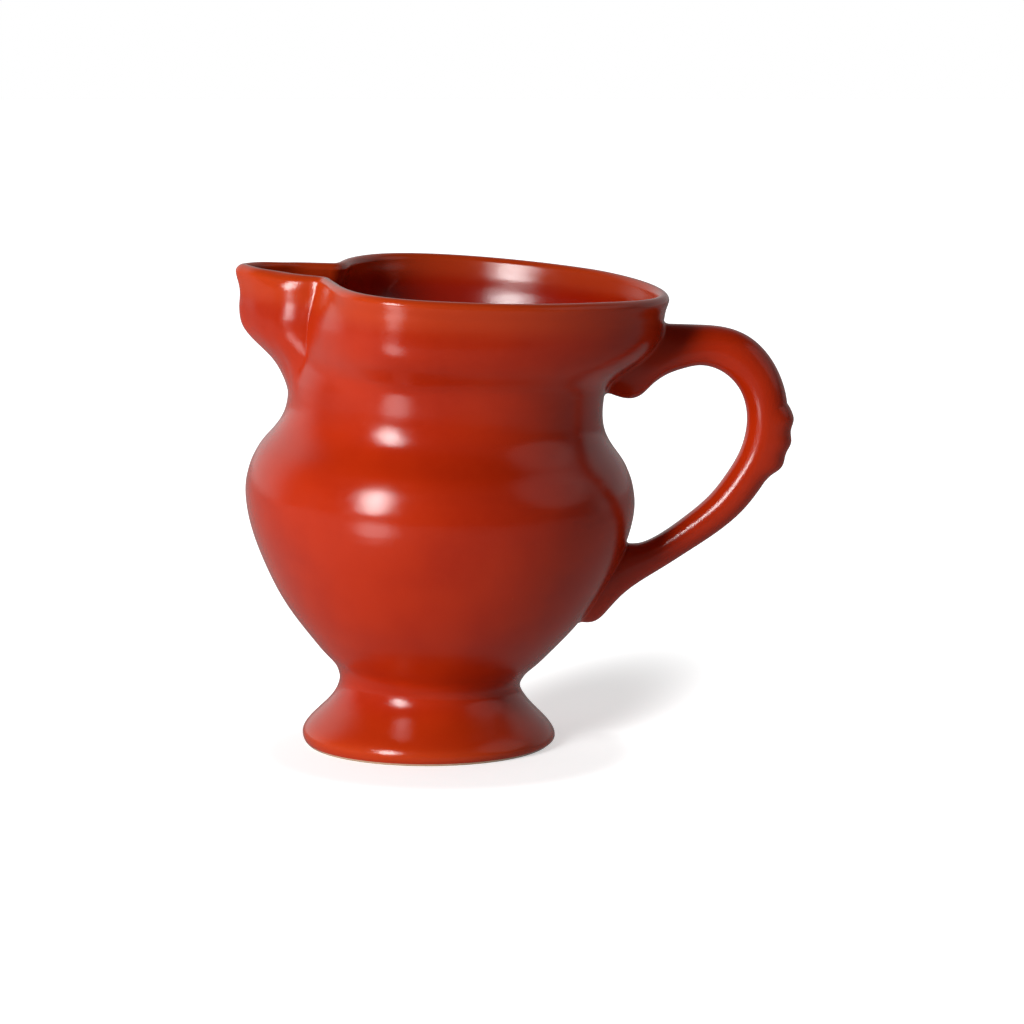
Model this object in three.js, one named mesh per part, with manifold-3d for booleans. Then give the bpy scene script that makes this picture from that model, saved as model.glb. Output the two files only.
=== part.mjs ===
// Milk jug in glazed earthenware: a thrown bowl with a neck and a collar, a beak spout let into the collar,
// a hollow pedestal foot and a loop handle with a lobed crest, luted together with slip before firing.
// Millimetres, +Z up. The spout points to -X and the handle to +X, and the jug is symmetric about Y = 0.
// The foot stands level and the bowl leans towards the handle, so the bowl's pieces share a turned group.

import * as THREE from 'three';
import { ParametricGeometry } from 'three/addons/geometries/ParametricGeometry.js';
import { mergeVertices } from 'three/addons/utils/BufferGeometryUtils.js';
import Module from 'manifold-3d';

// Foot
const FOOT_HEIGHT = 14.5; // table to the waist
const FOOT_RADIUS = 30.8; // at its widest
const FOOT_EDGE_HEIGHT = 2.4; // height of the widest line
const FOOT_EDGE_ROUNDING = 1.4; // how far the base edge is drawn in below that line
const FOOT_RING_WIDTH = 5.5; // bare ring that stands on the table
const FOOT_RECESS_DEPTH = 8.5; // hollow under the foot
const WAIST_RADIUS = 22;

// Bowl, from the waist up
const BOWL_LEAN = 3.3; // degrees, towards the handle
const WAIST_TO_BELLY = 46.5;
const BELLY_RADIUS = 47.2;
const BELLY_TO_NECK = 22;
const NECK_RADIUS = 38.1;
const NECK_TO_COLLAR = 16;
const COLLAR_RADIUS = 44.6; // half the collar's width from front to back
const COLLAR_HEIGHT = 14.8; // collar's lower edge to the rim
const COLLAR_BAND_RISE = 5; // collar's lower edge to its fullest line
const LIP_HEIGHT = 6;
const LIP_PROJECTION = 0.9; // lip beyond the collar
const LIP_THICKNESS = 3.2;
const WALL = 4.2;
const FLOOR_THICKNESS = 5;

// Mouth and spout
const MOUTH_END_REACH = 52.4; // bowl's axis to the handle end of the rim
const SPOUT_REACH = 51.8; // bowl's axis to the beak's tip
const SPOUT_RISE = 0.6; // tip above the rest of the rim
const SPOUT_ROOT_RISE = 3; // neck to the beak's lower edge
const CREASE_RADIUS = 35.9; // bowl's axis to the two creases
const CREASE_ANGLE = 31; // degrees from the beak's middle to each crease

// Handle
const HANDLE_THICKNESS = 10.2; // in the plane of the loop, at its upper end
const HANDLE_LOWER_THICKNESS = 7.4; // the same at its lower end
const HANDLE_WIDTH = 10.8; // across that plane
const HANDLE_REACH = 30.2; // furthest the loop's middle line stands out from the wall
const UPPER_ROOT_DROP = 13.1; // rim to the middle of the upper arm
const UPPER_ROOT_LENGTH = 19.4; // upper root, down the collar's underside
const LOWER_ROOT_DROP = 10; // belly to the top of the lower root
const LOWER_ROOT_LENGTH = 20.6; // lower root, down the belly
const LOWER_ROOT_STAND = 5.6; // lower root's thickness half way down
const ROOT_TOE = 4.3; // thickness of both roots at the toe
const CREST_LOBES = 3;
const CREST_PITCH = 5.1;
const CREST_LENGTH = 8.4; // one lobe, along the handle
const CREST_WIDTH = 8.6; // one lobe, across the handle
const CREST_RISE = 1.9; // lobes above the handle
const CREST_START = 0.386; // share of the handle's length at the first lobe

// Joints
const SLIP_THICKNESS = 0.6;
const JOINT_GAP = 0.3; // between the slip and each piece it holds

// Steps that the curved surfaces are cut into
const STEPS_PER_RIM_STATION = 2;
const OUTER_ROWS = 27;
const LIP_ROWS = 4;
const INNER_ROW_SKIP = 2; // the inside keeps every second row of the outside
const HANDLE_STEPS = 34;
const HANDLE_SIDES = 16;
const LOBE_SIDES = 16;
const LOBE_RINGS = 10;
const FOOT_SIDES = 56;
const FOOT_FLANK_STEPS = 11;
const FOOT_RECESS_STEPS = 6;
const WALL_SAMPLES = 400; // points that the handle's side of the wall is read from
const TURN_STEP = 1e-3; // step along the rim that its direction is taken over
const MERGE_DISTANCE = 1e-4;

// Shape of the curves between the sizes above, as [share of the way, share of the change]
const FLANK_SHAPE = [[0.09, 0.06], [0.2, 0.25], [0.38, 0.525], [0.59, 0.762], [0.81, 0.93]];
const SHOULDER_SHAPE = [[0.32, 0.18], [0.59, 0.65], [0.82, 0.93]];
const COVE_SHAPE = [[0.25, 0.05], [0.53, 0.28], [0.78, 0.73]];
const FOOT_SHAPE = [[0.27, 0.21], [0.6, 0.67]];
const BEAK_SHAPE = [[0.19, 0.14], [0.39, 0.52], [0.58, 0.76], [0.77, 0.96]];
const MOUTH_FRONT_SHAPE = [[0.2, 0.36], [0.38, 0.83], [0.57, 1.12], [0.74, 1.17]];
const MOUTH_BACK_SHAPE = [[0.12, 0], [0.28, 0.11], [0.45, 0.345], [0.63, 0.64], [0.82, 0.9]];
const LOOP_SHAPE = [
  [0, 0.31], [0.02, 0.53], [0.07, 0.74], [0.16, 0.88], [0.28, 0.98], [0.385, 1],
  [0.5, 0.957], [0.6, 0.87], [0.705, 0.73], [0.8, 0.543], [0.886, 0.32],
];

// Heights above the waist, and the clearance on each side of a joint's middle
const bellyHeight = WAIST_TO_BELLY;
const neckHeight = bellyHeight + BELLY_TO_NECK;
const collarHeight = neckHeight + NECK_TO_COLLAR;
const bandHeight = collarHeight + COLLAR_BAND_RISE;
const rimHeight = collarHeight + COLLAR_HEIGHT;
const lipRadius = COLLAR_RADIUS + LIP_PROJECTION;
const seamHalf = SLIP_THICKNESS / 2 + JOINT_GAP;

const { degToRad, lerp, smoothstep } = THREE.MathUtils;
const wasm = await Module();
wasm.setup();

// Points between two stations of a curve, from its list of shares.
function between(start, end, shape) {
  return shape.map(([way, change]) => [lerp(start[0], end[0], way), lerp(start[1], end[1], change)]);
}

function curveThrough(points) {
  return new THREE.SplineCurve(points.map(([x, y]) => new THREE.Vector2(x, y)));
}

// A closed geometry as a solid that can be cut, and back again.
function solid(geometry) {
  const bare = geometry.clone();
  bare.deleteAttribute('normal');
  bare.deleteAttribute('uv');
  const merged = mergeVertices(bare, MERGE_DISTANCE);
  const triangles = [];
  for (let i = 0; i < merged.index.count; i += 3) {
    const corners = [0, 1, 2].map((k) => merged.index.getX(i + k));
    if (new Set(corners).size === 3) triangles.push(...corners);
  }
  const mesh = new wasm.Mesh({
    numProp: 3,
    vertProperties: new Float32Array(merged.attributes.position.array),
    triVerts: new Uint32Array(triangles),
  });
  return new wasm.Manifold(mesh);
}

function geometryOf(body) {
  const mesh = body.getMesh();
  const geometry = new THREE.BufferGeometry();
  geometry.setAttribute('position', new THREE.BufferAttribute(mesh.vertProperties, 3));
  geometry.setIndex(new THREE.BufferAttribute(mesh.triVerts, 1));
  geometry.computeVertexNormals();
  return geometry;
}

// Bowl's profile seen from the front, [height, radius] from the waist to where the lip turns over.
const profile = curveThrough([
  [0, WAIST_RADIUS],
  ...between([0, WAIST_RADIUS], [bellyHeight, BELLY_RADIUS], FLANK_SHAPE),
  [bellyHeight, BELLY_RADIUS],
  ...between([bellyHeight, BELLY_RADIUS], [neckHeight, NECK_RADIUS], SHOULDER_SHAPE),
  [neckHeight, NECK_RADIUS],
  ...between([neckHeight, NECK_RADIUS], [collarHeight, COLLAR_RADIUS], COVE_SHAPE),
  [collarHeight, COLLAR_RADIUS],
  [bandHeight, COLLAR_RADIUS],
  [rimHeight - LIP_HEIGHT, COLLAR_RADIUS],
  [rimHeight - LIP_HEIGHT / 2, lipRadius],
  [rimHeight - LIP_THICKNESS / 2, lipRadius],
]);

// Half of the rim seen from above, [degrees from the spout, distance from the axis], spout to handle.
const front = [90, lipRadius];
const crease = [CREASE_ANGLE, CREASE_RADIUS];
const beakTip = [0, SPOUT_REACH];
const mouthEnd = [180, MOUTH_END_REACH];
const rimStations = [
  beakTip,
  ...between(beakTip, crease, BEAK_SHAPE),
  crease,
  ...between(crease, front, MOUTH_FRONT_SHAPE),
  front,
  ...between(front, mouthEnd, MOUTH_BACK_SHAPE),
  mouthEnd,
];
const rim = curveThrough(rimStations);
const roundSteps = 2 * STEPS_PER_RIM_STATION * (rimStations.length - 1);

// The wall is round up to the neck, and its section turns into the rim's outline above it.
function flareAt(height) {
  return smoothstep(height, neckHeight, bandHeight);
}

function planPoint(turn, row) {
  const fromSpout = 1 - Math.abs(1 - 2 * turn);
  const station = rim.getPoint(fromSpout);
  const angle = degToRad(station.x);
  const radius = row.radius + flareAt(row.height) * (station.y - lipRadius);
  return new THREE.Vector2(-radius * Math.cos(angle), (turn < 0.5 ? -1 : 1) * radius * Math.sin(angle));
}

// Point of the wall at a turn round the axis (0 to 1 from the spout), set in from the outside by row.inset.
function wallPoint(turn, row, target) {
  if (row.radius === 0) return target.set(0, 0, row.height);
  const point = planPoint(turn, row);
  const ahead = planPoint((turn + TURN_STEP) % 1, row);
  const behind = planPoint((turn + 1 - TURN_STEP) % 1, row);
  const along = ahead.sub(behind).normalize();
  const beak = Math.max(0, 1 - rim.getPoint(1 - Math.abs(1 - 2 * turn)).x / CREASE_ANGLE);
  return target.set(
    point.x - row.inset * along.y,
    point.y + row.inset * along.x,
    row.height + SPOUT_RISE * beak * flareAt(row.height),
  );
}

function surfaceOfRows(rows) {
  const point = (turn, way, target) => wallPoint(turn, rows[Math.round(way * (rows.length - 1))], target);
  return new ParametricGeometry(point, roundSteps, rows.length - 1);
}

const outerRows = profile.getPoints(OUTER_ROWS).map((p) => ({ radius: p.y, height: p.x, inset: 0 }));

// Bowl and spout as one hollow vessel: up the outside, over the round lip and down the inside to the floor.
function vessel() {
  const outside = outerRows.map((row) => ({ ...row, height: Math.max(row.height, seamHalf) }));
  const top = outside.at(-1);
  const half = LIP_THICKNESS / 2;
  const lipRows = [];
  for (let i = 1; i < LIP_ROWS; i += 1) {
    const turn = (Math.PI * i) / LIP_ROWS;
    const height = top.height + half * Math.sin(turn);
    lipRows.push({ radius: top.radius, height, inset: half * (1 - Math.cos(turn)) });
  }
  const floor = seamHalf + FLOOR_THICKNESS;
  const lastRow = outside.length - 1;
  const inside = outside
    .filter((row, i) => (lastRow - i) % INNER_ROW_SKIP === 0 && row.height > floor + WALL)
    .map((row) => ({ ...row, inset: row === top ? LIP_THICKNESS : WALL }))
    .reverse();
  const floorEdge = { ...outside.find((row) => row.height > floor), height: floor, inset: WALL };
  const rows = [
    { radius: 0, height: seamHalf },
    ...outside,
    ...lipRows,
    ...inside,
    floorEdge,
    { radius: 0, height: floor },
  ];
  return solid(surfaceOfRows(rows));
}

// The vessel's outer form without its hollow, grown by a clearance, which the handle's roots are cut to.
function filledVessel(growth) {
  const rows = outerRows.map((row) => ({ ...row, inset: -growth }));
  const base = { radius: 0, height: 0 };
  const top = { radius: 0, height: rows.at(-1).height };
  return solid(surfaceOfRows([base, ...rows, top]));
}

// Sector of space that holds the beak, between the creases and above its root, grown by a clearance.
function beakSector(growth) {
  const apex = growth / Math.sin(degToRad(CREASE_ANGLE));
  const reach = 2 * SPOUT_REACH;
  const halfWidth = (apex + reach) * Math.tan(degToRad(CREASE_ANGLE));
  const sector = new THREE.Shape([
    new THREE.Vector2(apex, 0),
    new THREE.Vector2(-reach, halfWidth),
    new THREE.Vector2(-reach, -halfWidth),
  ]);
  const prism = new THREE.ExtrudeGeometry(sector, { depth: rimHeight, bevelEnabled: false });
  prism.translate(0, 0, neckHeight + SPOUT_ROOT_RISE - growth);
  return solid(prism);
}

// Foot: profile from the middle of the recess round the ring and up the flank, cut off at the joint.
function foot(leaningFrame) {
  const ringOuter = FOOT_RADIUS - FOOT_EDGE_ROUNDING;
  const ringInner = ringOuter - FOOT_RING_WIDTH;
  const widest = [FOOT_EDGE_HEIGHT, FOOT_RADIUS];
  const waist = [FOOT_HEIGHT, WAIST_RADIUS];
  const flank = curveThrough([[0, ringOuter], widest, ...between(widest, waist, FOOT_SHAPE), waist]);
  const recess = new THREE.QuadraticBezierCurve(
    new THREE.Vector2(0, FOOT_RECESS_DEPTH),
    new THREE.Vector2(ringInner, FOOT_RECESS_DEPTH),
    new THREE.Vector2(ringInner, 0),
  );
  const overlapTop = FOOT_HEIGHT + WAIST_RADIUS * Math.tan(degToRad(BOWL_LEAN));
  const points = [
    ...recess.getPoints(FOOT_RECESS_STEPS),
    ...flank.getPoints(FOOT_FLANK_STEPS).map((p) => new THREE.Vector2(p.y, p.x)),
    new THREE.Vector2(WAIST_RADIUS, overlapTop),
    new THREE.Vector2(0, overlapTop),
  ];
  const lathe = new THREE.LatheGeometry(points, FOOT_SIDES).rotateX(Math.PI / 2);
  const above = new THREE.BoxGeometry(4 * WAIST_RADIUS, 4 * WAIST_RADIUS, 2 * FOOT_HEIGHT);
  above.translate(0, 0, FOOT_HEIGHT - seamHalf).applyMatrix4(leaningFrame);
  return solid(lathe).subtract(solid(above));
}

// Radius of the wall on the handle's side, in the plane of the loop.
const handleSide = profile
  .getPoints(WALL_SAMPLES)
  .map((p) => [p.x, p.y + flareAt(p.x) * (MOUTH_END_REACH - lipRadius)]);
function handleWall(height) {
  const next = Math.max(1, handleSide.findIndex(([h]) => h >= height));
  const [low, lowRadius] = handleSide[next - 1];
  const [high, highRadius] = handleSide[next];
  return lerp(lowRadius, highRadius, (height - low) / (high - low));
}

// Heights of the two roots on the wall.
const upperArm = rimHeight - UPPER_ROOT_DROP;
const upperTop = upperArm + HANDLE_THICKNESS / 2;
const upperToe = upperTop - UPPER_ROOT_LENGTH;
const lowerTop = bellyHeight - LOWER_ROOT_DROP;
const lowerToe = lowerTop - LOWER_ROOT_LENGTH;
const lowerMiddle = (lowerTop + lowerToe) / 2;

// Two rails carry the handle's oval section: one along the outside of the loop and one along the inside.
function handleRails() {
  const middle = curveThrough(LOOP_SHAPE.map(([way, reach]) => [
    lerp(handleWall(upperArm), handleWall(lowerMiddle), way) + reach * HANDLE_REACH,
    lerp(upperArm, lowerMiddle, way),
  ]));
  const outer = [];
  const inner = [];
  const add = (height, stand, innerHeight, innerStand) => {
    outer.push([handleWall(height) + stand, height]);
    inner.push([handleWall(innerHeight) + innerStand, innerHeight]);
  };
  const depth = -WALL / 2;
  add(upperTop, depth, upperToe, depth);
  add(upperTop, HANDLE_THICKNESS / 4, upperToe, ROOT_TOE);
  LOOP_SHAPE.forEach((_, i) => {
    const share = i / (LOOP_SHAPE.length - 1);
    const at = middle.getPoint(share);
    const along = middle.getTangent(share);
    const half = lerp(HANDLE_THICKNESS, HANDLE_LOWER_THICKNESS, share * share) / 2;
    outer.push([at.x - half * along.y, at.y + half * along.x]);
    inner.push([at.x + half * along.y, at.y - half * along.x]);
  });
  const quarter = HANDLE_LOWER_THICKNESS / 4;
  add(lowerMiddle - quarter, LOWER_ROOT_STAND, lowerTop, 0);
  add(lowerToe + quarter / 2, ROOT_TOE, lowerTop - quarter, depth / 2);
  add(lowerToe + quarter, depth, lowerTop - 2 * quarter, depth);
  return [curveThrough(outer), curveThrough(inner)];
}

const [outerRail, innerRail] = handleRails();

// The whole handle with its roots run into the wall, grown by a clearance. Its two ends close to a point.
function handleTube(growth) {
  const stacks = HANDLE_STEPS + 2;
  const point = (turn, way, target) => {
    const step = Math.round(way * stacks);
    const share = THREE.MathUtils.clamp((step - 1) / HANDLE_STEPS, 0, 1);
    const outside = outerRail.getPoint(share);
    const inside = innerRail.getPoint(share);
    const centre = outside.clone().add(inside).multiplyScalar(0.5);
    const across = outside.sub(centre);
    const closed = step === 0 || step === stacks ? 0 : 1;
    const stretch = closed * (1 + growth / across.length()) * Math.cos(2 * Math.PI * turn);
    const side = -closed * (HANDLE_WIDTH / 2 + growth) * Math.sin(2 * Math.PI * turn);
    return target.set(centre.x + across.x * stretch, side, centre.y + across.y * stretch);
  };
  return solid(new ParametricGeometry(point, HANDLE_SIDES, stacks));
}

// Lobes of the crest: overlapping egg-shaped buttons that stand on the outer rail.
function crestLobes() {
  const sink = CREST_LENGTH / 6;
  const lobes = [];
  for (let i = 0; i < CREST_LOBES; i += 1) {
    const share = CREST_START + (i * CREST_PITCH) / outerRail.getLength();
    const at = outerRail.getPointAt(share);
    const along = outerRail.getTangentAt(share);
    const lobe = new THREE.SphereGeometry(1, LOBE_SIDES, LOBE_RINGS);
    lobe.scale(CREST_LENGTH / 2, CREST_WIDTH / 2, CREST_RISE + sink);
    const frame = new THREE.Matrix4().makeBasis(
      new THREE.Vector3(along.x, 0, along.y),
      new THREE.Vector3(0, 1, 0),
      new THREE.Vector3(-along.y, 0, along.x),
    );
    frame.setPosition(at.x + sink * along.y, 0, at.y - sink * along.x);
    lobes.push(solid(lobe.applyMatrix4(frame)));
  }
  return lobes.reduce((whole, lobe) => whole.add(lobe));
}

// Half of space above or below the middle of the gap between the roots, to part their two joints.
function halfSpace(side) {
  const size = 4 * rimHeight;
  const middle = (lowerTop + upperToe) / 2;
  return solid(new THREE.BoxGeometry(size, size, size).translate(0, 0, middle + (side * size) / 2));
}

const glaze = { color: 0xa5301a, roughness: 0.28, metalness: 0 };
const slip = { color: 0xb4533a, roughness: 0.4, metalness: 0 };

function piece(name, body, finish) {
  const geometry = body instanceof THREE.BufferGeometry ? body : geometryOf(body);
  const mesh = new THREE.Mesh(geometry, new THREE.MeshStandardMaterial(finish));
  mesh.name = name;
  return mesh;
}

// Bowl's group: its origin is the middle of the waist, and it leans towards the handle.
const leaning = new THREE.Group();
leaning.position.z = FOOT_HEIGHT;
leaning.rotation.y = degToRad(BOWL_LEAN);
leaning.updateMatrix();

const whole = vessel();
const tube = handleTube(0);
const rootLayer = filledVessel(JOINT_GAP + SLIP_THICKNESS).subtract(filledVessel(JOINT_GAP));
const footSlip = new THREE.CylinderGeometry(WAIST_RADIUS, WAIST_RADIUS, SLIP_THICKNESS, FOOT_SIDES);
leaning.add(
  piece('bowl', whole.subtract(beakSector(seamHalf)), glaze),
  piece('spout', whole.intersect(beakSector(-seamHalf)), glaze),
  piece('handle', tube.subtract(filledVessel(2 * JOINT_GAP + SLIP_THICKNESS)), glaze),
  piece('handle_crest', crestLobes().subtract(handleTube(JOINT_GAP)), glaze),
  piece('foot_slip_joint', footSlip.rotateX(Math.PI / 2), slip),
  piece(
    'spout_slip_joint',
    whole.intersect(beakSector(SLIP_THICKNESS / 2)).subtract(beakSector(-SLIP_THICKNESS / 2)),
    slip,
  ),
  piece('upper_handle_slip_joint', tube.intersect(rootLayer).intersect(halfSpace(1)), slip),
  piece('lower_handle_slip_joint', tube.intersect(rootLayer).intersect(halfSpace(-1)), slip),
);

const jug = new THREE.Group();
jug.add(piece('pedestal_foot', foot(leaning.matrix), glaze), leaning);

// The origin lies on the table under the middle of the whole jug.
jug.updateMatrixWorld(true);
jug.position.x = -new THREE.Box3().setFromObject(jug, true).getCenter(new THREE.Vector3()).x;

export default jug;
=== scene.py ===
# A milk jug in red-glazed earthenware. Bowl and foot are thrown, the spout and the handle are
# pulled by hand, and all are joined with slip before one coat of glaze goes over the whole jug.
# The jug's sizes are in millimetres from the middle of the foot, and stand() makes them metres.
# Sizes of the table and the lamps are in metres.
import math

import bpy
import numpy as np
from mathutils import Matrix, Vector


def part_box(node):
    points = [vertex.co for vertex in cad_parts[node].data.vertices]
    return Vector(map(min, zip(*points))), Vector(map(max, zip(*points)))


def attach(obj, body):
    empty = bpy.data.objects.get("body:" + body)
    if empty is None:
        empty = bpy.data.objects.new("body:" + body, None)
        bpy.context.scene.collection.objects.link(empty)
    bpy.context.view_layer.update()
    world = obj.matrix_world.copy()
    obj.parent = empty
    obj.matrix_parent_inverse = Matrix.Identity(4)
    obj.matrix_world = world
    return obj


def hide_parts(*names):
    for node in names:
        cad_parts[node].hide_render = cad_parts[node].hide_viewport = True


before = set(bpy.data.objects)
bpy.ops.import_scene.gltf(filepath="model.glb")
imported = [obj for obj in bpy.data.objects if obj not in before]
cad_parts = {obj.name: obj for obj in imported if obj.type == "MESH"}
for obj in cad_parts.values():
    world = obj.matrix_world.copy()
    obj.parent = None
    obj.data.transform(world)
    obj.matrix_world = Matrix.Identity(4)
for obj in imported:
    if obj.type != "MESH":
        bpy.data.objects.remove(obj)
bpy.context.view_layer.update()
scene = bpy.context.scene
scene.view_settings.view_transform = "Standard"

# The view
# A long lens looks across the jug from a little above, with the spout on the left.
MM = 0.001
foot_low, foot_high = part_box("pedestal_foot")
FOOT_X = (foot_low.x + foot_high.x) / 2
VIEW_AIM = Vector((FOOT_X + 20.3 * MM, 0, 56.5 * MM))
VIEW_DISTANCE = 1350 * MM
VIEW_RISE = math.radians(9.8)
VIEW_LENS, VIEW_SENSOR = 196.0, 36.0

camera = bpy.data.objects.new("camera", bpy.data.cameras.new("camera"))
camera.data.sensor_width = VIEW_SENSOR
camera.data.lens = VIEW_LENS
camera.location = VIEW_AIM + VIEW_DISTANCE * Vector((0, -math.cos(VIEW_RISE), math.sin(VIEW_RISE)))
camera.rotation_euler = (math.pi / 2 - VIEW_RISE, 0, 0)
scene.collection.objects.link(camera)
scene.camera = camera

# The table
# A white matt board that ends well in front of the jug. It also glows to the lens, less round the
# foot and in a long oval behind it: there the lamps' shadow shows, and the weaker glow also paints a
# shadow of its own. A mirror sees it as a dim board.
TABLE_SIDE = 1.6
TABLE_FRONT = -0.40
TABLE_BACK = 1.6
TABLE_COLOUR = (0.80, 0.81, 0.81, 1)
FULL_GLOW, FOOT_GLOW, SHADOW_GLOW = 1.0, 0.53, 0.46
FOOT_GLOW_CENTRE = (FOOT_X + 0.004, -0.010, 0)
FOOT_GLOW_REACH = (0.040, 0.058)
SHADOW_CENTRE = (FOOT_X + 0.036, 0.038, 0)
SHADOW_TURN = math.radians(-18)
SHADOW_HALF = (0.019, 0.062, 1)
SHADOW_EDGE = (0.4, 2.0)
MIRROR_SPAN = (-0.03, -0.14)
MIRROR_LEVELS = (0.18, 0.34)

table_mesh = bpy.data.meshes.new("table")
table_corners = [(-TABLE_SIDE, TABLE_FRONT, 0), (TABLE_SIDE, TABLE_FRONT, 0),
                 (TABLE_SIDE, TABLE_BACK, 0), (-TABLE_SIDE, TABLE_BACK, 0)]
table_mesh.from_pydata(table_corners, [], [(0, 1, 2, 3)])
table = bpy.data.objects.new("table", table_mesh)
scene.collection.objects.link(table)


def add_node(tree, kind, place, **values):
    """Add a shader node of a kind at a place in a tree, and set its named properties."""
    node = tree.nodes.new(kind)
    node.location = place
    for name, value in values.items():
        setattr(node, name, value)
    return node


def smooth_range(tree, value, span, levels, place):
    """A value taken from a span's two ends to two levels, with no slope at either end.

    A level is a number or another node's output.
    """
    node = add_node(tree, "ShaderNodeMapRange", place, interpolation_type="SMOOTHSTEP")
    for name, end in zip(("From Min", "From Max", "To Min", "To Max"), (*span, *levels)):
        if isinstance(end, bpy.types.NodeSocket):
            tree.links.new(end, node.inputs[name])
        else:
            node.inputs[name].default_value = end
    tree.links.new(value, node.inputs["Value"])
    return node.outputs["Result"]


def empty_material(name):
    """A new material with only an output node; gives back the material, its tree and the output."""
    material = bpy.data.materials.new(name)
    material.use_nodes = True
    material.node_tree.nodes.clear()
    output = add_node(material.node_tree, "ShaderNodeOutputMaterial", (600, 0))
    return material, material.node_tree, output


board, tree, output = empty_material("white_board")
matt = add_node(tree, "ShaderNodeBsdfDiffuse", (0, 0))
matt.inputs["Color"].default_value = TABLE_COLOUR
path = add_node(tree, "ShaderNodeLightPath", (-900, 300))
board_spot = add_node(tree, "ShaderNodeTexCoord", (-1100, 0)).outputs["Object"]
from_foot = add_node(tree, "ShaderNodeVectorMath", (-900, 0), operation="DISTANCE")
from_foot.inputs[1].default_value = FOOT_GLOW_CENTRE
in_shadow = add_node(tree, "ShaderNodeMapping", (-1000, -200), vector_type="TEXTURE")
in_shadow.inputs["Location"].default_value = SHADOW_CENTRE
in_shadow.inputs["Rotation"].default_value = (0, 0, SHADOW_TURN)
in_shadow.inputs["Scale"].default_value = SHADOW_HALF
from_shadow = add_node(tree, "ShaderNodeVectorMath", (-900, -200), operation="LENGTH")
foot_fade = smooth_range(tree, from_foot.outputs["Value"], FOOT_GLOW_REACH,
                         (FOOT_GLOW, FULL_GLOW), (-700, 0))
shadow_fade = smooth_range(tree, from_shadow.outputs["Value"], SHADOW_EDGE,
                           (SHADOW_GLOW, FULL_GLOW), (-700, -200))
board_glow = add_node(tree, "ShaderNodeMath", (-500, 0), operation="MINIMUM")
to_lens = add_node(tree, "ShaderNodeMath", (-300, 0), operation="MULTIPLY")
lens_glow = add_node(tree, "ShaderNodeEmission", (0, 200))
lit_board = add_node(tree, "ShaderNodeAddShader", (200, 0))
board_parts = add_node(tree, "ShaderNodeSeparateXYZ", (-500, -400))
mirror_level = smooth_range(tree, board_parts.outputs["X"], MIRROR_SPAN, MIRROR_LEVELS, (-300, -400))
mirror_glow = add_node(tree, "ShaderNodeEmission", (0, -200))
shown = add_node(tree, "ShaderNodeMixShader", (400, 0))
for source, target in (
    (board_spot, from_foot.inputs[0]),
    (board_spot, in_shadow.inputs["Vector"]),
    (board_spot, board_parts.inputs[0]),
    (in_shadow.outputs["Vector"], from_shadow.inputs[0]),
    (foot_fade, board_glow.inputs[0]),
    (shadow_fade, board_glow.inputs[1]),
    (board_glow.outputs[0], to_lens.inputs[0]),
    (path.outputs["Is Camera Ray"], to_lens.inputs[1]),
    (to_lens.outputs[0], lens_glow.inputs["Strength"]),
    (matt.outputs[0], lit_board.inputs[0]),
    (lens_glow.outputs[0], lit_board.inputs[1]),
    (mirror_level, mirror_glow.inputs["Strength"]),
    (path.outputs["Is Glossy Ray"], shown.inputs[0]),
    (lit_board.outputs[0], shown.inputs[1]),
    (mirror_glow.outputs[0], shown.inputs[2]),
    (shown.outputs[0], output.inputs["Surface"]),
):
    tree.links.new(source, target)
table_mesh.materials.append(board)

# The light
# The key is a tall soft box left of the lens. Two cards only light the jug, and a third card and a
# strip on the table are only mirrored. The world is white to the lens. A mirror sees it pale behind
# the jug and dark elsewhere, and it gives a weak light that is stronger from behind.
ROOM_LEVELS = (0.06, 0.8)
MIRROR_DARK = 0.07
BACKDROP_SPAN = (0.10, 0.55)
BACKDROP_SIDES = (0.3, -0.5)
BACKDROP_LEVELS = (0.35, 0.75)
OVERHEAD_SPAN = (0.55, 0.85)
OVERHEAD_LEVELS = (1.0, 0.2)
WHITE_LEVEL = 1.0
KEY_TURN = -38.5
KEY_LEVEL = 19.0
LOW_LEVEL = 17.0
LEFT_LEVEL = 1.6
RIGHT_LEVEL = 0.33
STRIP_LEVEL = 3.3
STRIP_HEIGHT = 1 * MM

scene.world = bpy.data.worlds.new("studio")
scene.world.use_nodes = True
tree = scene.world.node_tree
tree.nodes.clear()
output = add_node(tree, "ShaderNodeOutputWorld", (600, 0))
sky = add_node(tree, "ShaderNodeBackground", (400, 0))
sky.inputs["Color"].default_value = (1, 1, 1, 1)
path = add_node(tree, "ShaderNodeLightPath", (-900, 300))
direction = add_node(tree, "ShaderNodeTexCoord", (-900, 0))
parts = add_node(tree, "ShaderNodeSeparateXYZ", (-700, 0))
beside = smooth_range(tree, parts.outputs["X"], BACKDROP_SIDES, BACKDROP_LEVELS, (-700, 200))
behind = smooth_range(tree, parts.outputs["Y"], BACKDROP_SPAN, (MIRROR_DARK, beside), (-500, 0))
overhead = smooth_range(tree, parts.outputs["Z"], OVERHEAD_SPAN, OVERHEAD_LEVELS, (-500, -250))
room = smooth_range(tree, parts.outputs["Y"], BACKDROP_SPAN, ROOM_LEVELS, (-300, 200))
backdrop = add_node(tree, "ShaderNodeMath", (-300, 0), operation="MULTIPLY")
indirect = add_node(tree, "ShaderNodeMix", (-100, 0), data_type="FLOAT")
level = add_node(tree, "ShaderNodeMix", (100, 0), data_type="FLOAT")
level.inputs["B"].default_value = WHITE_LEVEL
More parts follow.
